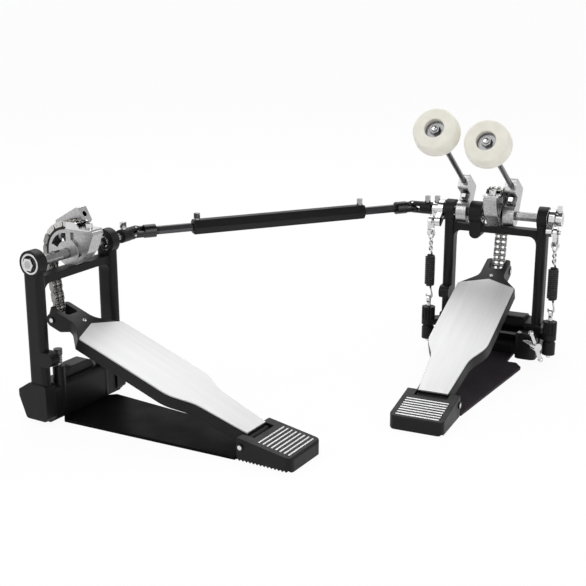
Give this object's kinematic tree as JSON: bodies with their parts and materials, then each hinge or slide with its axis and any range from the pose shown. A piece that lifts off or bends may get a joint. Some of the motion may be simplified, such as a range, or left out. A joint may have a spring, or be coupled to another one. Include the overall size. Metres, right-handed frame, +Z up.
{
  "type": "double bass drum pedal",
  "caption": "Double bass drum pedal: a main pedal with a pair of felt beaters, and a second pedal that drives one of them through a telescopic shaft with universal joints.",
  "frame": {"origin": "on the floor under the middle of the main axle", "axes": "+X along the main axle to the player's right, +Y forward to the drum, +Z up"},
  "size_m": [0.4642, 0.4891, 0.3041],
  "materials": {
    "felt": "felt",
    "brushed_aluminium": "brushed",
    "cast_aluminium": "matte cast",
    "black_nut": "satin",
    "black_casting": "satin",
    "dark_steel": "satin",
    "steel": "satin",
    "chrome": "polished"
  },
  "bodies": {
    "main_stand": {"main_base_plate": "black_casting", "main_frame": "black_casting", "main_bearings": "steel", "main_heel_block": "black_casting", "main_heel_grips": "brushed_aluminium", "spring_eye_bolts": "chrome", "left_return_spring": "dark_steel", "right_return_spring": "dark_steel"},
    "left_adjuster": {"left_adjust_nuts": "black_nut"},
    "right_adjuster": {"right_adjust_nuts": "black_nut"},
    "clamp_jaw": {"clamp_jaw": "black_casting"},
    "clamp_wing": {"clamp_wing_bolt": "chrome"},
    "main_axle": {"main_axle_shaft": "steel", "main_cam": "cast_aluminium", "main_chain_wrap": "steel", "main_beater_holder": "cast_aluminium", "right_rocker": "chrome", "main_axle_bolts": "chrome"},
    "main_beater": {"main_beater_rod": "dark_steel", "main_beater_head": "felt"},
    "main_chain_upper": {"main_chain_upper": "steel"},
    "main_chain_lower": {"main_chain_lower": "steel"},
    "main_chain": {"main_chain": "steel"},
    "main_footboard": {"main_footboard": "black_casting", "main_tread_plate": "brushed_aluminium", "main_hinge_pins": "chrome"},
    "right_link": {"right_spring_link": "chrome"},
    "left_link": {"left_spring_link": "chrome"},
    "left_axle": {"left_axle_shaft": "steel", "left_beater_holder": "cast_aluminium", "left_rocker": "chrome", "left_axle_bolts": "chrome", "main_axle_yoke": "black_casting", "main_joint_cross": "steel"},
    "left_beater": {"left_beater_rod": "dark_steel", "left_beater_head": "felt"},
    "drive_shaft": {"main_shaft_rod": "dark_steel", "shaft_tube": "black_casting", "shaft_bolts": "chrome"},
    "shaft_rod": {"second_shaft_rod": "dark_steel"},
    "second_stand": {"second_base_plate": "black_casting", "second_frame": "black_casting", "second_bearings": "steel", "second_heel_block": "black_casting", "second_heel_grips": "brushed_aluminium", "second_spurs": "steel"},
    "second_axle": {"second_axle_shaft": "steel", "second_cam": "cast_aluminium", "second_chain_wrap": "steel", "second_beater_holder": "cast_aluminium", "second_axle_yoke": "black_casting", "second_joint_cross": "steel", "second_axle_bolts": "chrome"},
    "second_footboard": {"second_footboard": "black_casting", "second_tread_plate": "brushed_aluminium", "second_hinge_pins": "chrome"},
    "second_chain_upper": {"second_chain_upper": "steel"},
    "second_chain_lower": {"second_chain_lower": "steel"},
    "second_chain": {"second_chain": "steel"}
  },
  "joints": [
    {"name": "main_stroke", "type": "hinge", "parent": "main_stand", "child": "main_axle", "pos_m": [0, 0, 0.17], "axis": [-1, 0, 0], "range_deg": [0, 58], "stiffness_Nm_per_rad": 0.4, "springref_deg": -45.84},
    {"name": "main_beater_reach", "type": "slide", "parent": "main_axle", "child": "main_beater", "axis": [0, -0.8678, 0.497], "range_m": [-0.01, 0.015]},
    {"name": "left_stroke", "type": "hinge", "parent": "main_stand", "child": "left_axle", "pos_m": [0, 0, 0.17], "axis": [-1, 0, 0], "range_deg": [0, 58], "stiffness_Nm_per_rad": 0.4, "springref_deg": -45.84},
    {"name": "left_beater_reach", "type": "slide", "parent": "left_axle", "child": "left_beater", "axis": [0, -0.8425, 0.5388], "range_m": [-0.01, 0.015]},
    {"name": "main_press", "type": "hinge", "parent": "main_stand", "child": "main_footboard", "pos_m": [0, -0.225, 0.014], "axis": [-1, 0, 0], "range_deg": [0, 7.15]},
    {"name": "main_chain_upper_roll", "type": "hinge", "parent": "main_axle", "child": "main_chain_upper", "pos_m": [0, 0.01828, 0.19379], "axis": [1, 0, 0], "range_deg": [0, 16.59]},
    {"name": "main_chain_lower_roll", "type": "hinge", "parent": "main_chain_upper", "child": "main_chain_lower", "pos_m": [0, 0.02645, 0.18415], "axis": [1, 0, 0], "range_deg": [0, 30.38]},
    {"name": "main_chain_swing", "type": "hinge", "parent": "main_footboard", "child": "main_chain", "pos_m": [0, 0.0196, 0.09655], "axis": [1, 0, 0], "range_deg": [0, 14.34]},
    {"name": "right_link_lift", "type": "slide", "parent": "main_stand", "child": "right_link", "axis": [0, 0, 1], "range_m": [0, 0.0193], "deforming": ["right_return_spring"]},
    {"name": "right_adjuster_turn", "type": "hinge", "parent": "main_stand", "child": "right_adjuster", "pos_m": [0.0745, -0.0181, 0.03], "axis": [0, 0, 1], "continuous": true},
    {"name": "left_link_lift", "type": "slide", "parent": "main_stand", "child": "left_link", "axis": [0, 0, 1], "range_m": [0, 0.0193], "deforming": ["left_return_spring"]},
    {"name": "left_adjuster_turn", "type": "hinge", "parent": "main_stand", "child": "left_adjuster", "pos_m": [-0.0745, -0.0181, 0.03], "axis": [0, 0, 1], "continuous": true},
    {"name": "shaft_turn", "type": "hinge", "parent": "main_stand", "child": "drive_shaft", "pos_m": [-0.1044, 0, 0.17], "axis": [-0.6654, -0.7465, 0], "range_deg": [0, 40.49]},
    {"name": "second_reach", "type": "slide", "parent": "main_stand", "child": "second_stand", "axis": [-0.6654, -0.7465, 0], "range_m": [-0.04, 0.04]},
    {"name": "shaft_rod_turn", "type": "hinge", "parent": "second_stand", "child": "shaft_rod", "pos_m": [-0.33731, -0.26132, 0.17], "axis": [-0.6654, -0.7465, 0], "range_deg": [0, 40.49]},
    {"name": "second_stroke", "type": "hinge", "parent": "second_stand", "child": "second_axle", "pos_m": [-0.3485, -0.3627, 0.17], "axis": [-0.1097, -0.994, 0], "range_deg": [0, 48.7]},
    {"name": "second_press", "type": "hinge", "parent": "second_stand", "child": "second_footboard", "pos_m": [-0.12486, -0.38739, 0.014], "axis": [-0.1097, -0.994, 0], "range_deg": [0, 6.04]},
    {"name": "second_chain_upper_roll", "type": "hinge", "parent": "second_axle", "child": "second_chain_upper", "pos_m": [-0.36667, -0.36069, 0.19379], "axis": [0.1097, 0.994, 0], "range_deg": [0, 7.25]},
    {"name": "second_chain_lower_roll", "type": "hinge", "parent": "second_chain_upper", "child": "second_chain_lower", "pos_m": [-0.37479, -0.3598, 0.18415], "axis": [0.1097, 0.994, 0], "range_deg": [0, 29.75]},
    {"name": "second_chain_swing", "type": "hinge", "parent": "second_footboard", "child": "second_chain", "pos_m": [-0.36798, -0.36055, 0.09655], "axis": [0.1097, 0.994, 0], "range_deg": [0, 12.57]},
    {"name": "clamp_wing_turn", "type": "hinge", "parent": "main_stand", "child": "clamp_wing", "pos_m": [0.0425, -0.0225, 0.028], "axis": [0.7071, -0.7071, 0], "range_deg": [0, 720]},
    {"name": "clamp_jaw_close", "type": "hinge", "parent": "main_stand", "child": "clamp_jaw", "pos_m": [0, 0.012, 0.032], "axis": [-1, 0, 0], "range_deg": [0, 8]}
  ],
  "couplings": [
    {"joint": "main_press", "follows": "main_stroke", "ratio": 0.12331},
    {"joint": "main_chain_upper_roll", "follows": "main_stroke", "ratio": 0.28598},
    {"joint": "main_chain_lower_roll", "follows": "main_stroke", "ratio": 0.52372},
    {"joint": "main_chain_swing", "follows": "main_stroke", "ratio": 0.24725},
    {"joint": "right_link_lift", "follows": "main_stroke", "m_per_rad": 0.019052},
    {"joint": "left_link_lift", "follows": "left_stroke", "m_per_rad": 0.019052},
    {"joint": "shaft_turn", "follows": "left_stroke", "ratio": 0.6981},
    {"joint": "shaft_rod_turn", "follows": "left_stroke", "ratio": 0.6981},
    {"joint": "second_stroke", "follows": "left_stroke", "ratio": 0.83958},
    {"joint": "second_press", "follows": "left_stroke", "ratio": 0.10414},
    {"joint": "second_chain_upper_roll", "follows": "left_stroke", "ratio": 0.12501},
    {"joint": "second_chain_lower_roll", "follows": "left_stroke", "ratio": 0.51288},
    {"joint": "second_chain_swing", "follows": "left_stroke", "ratio": 0.21668},
    {"joint": "clamp_jaw_close", "follows": "clamp_wing_turn", "ratio": 0.011111}
  ]
}
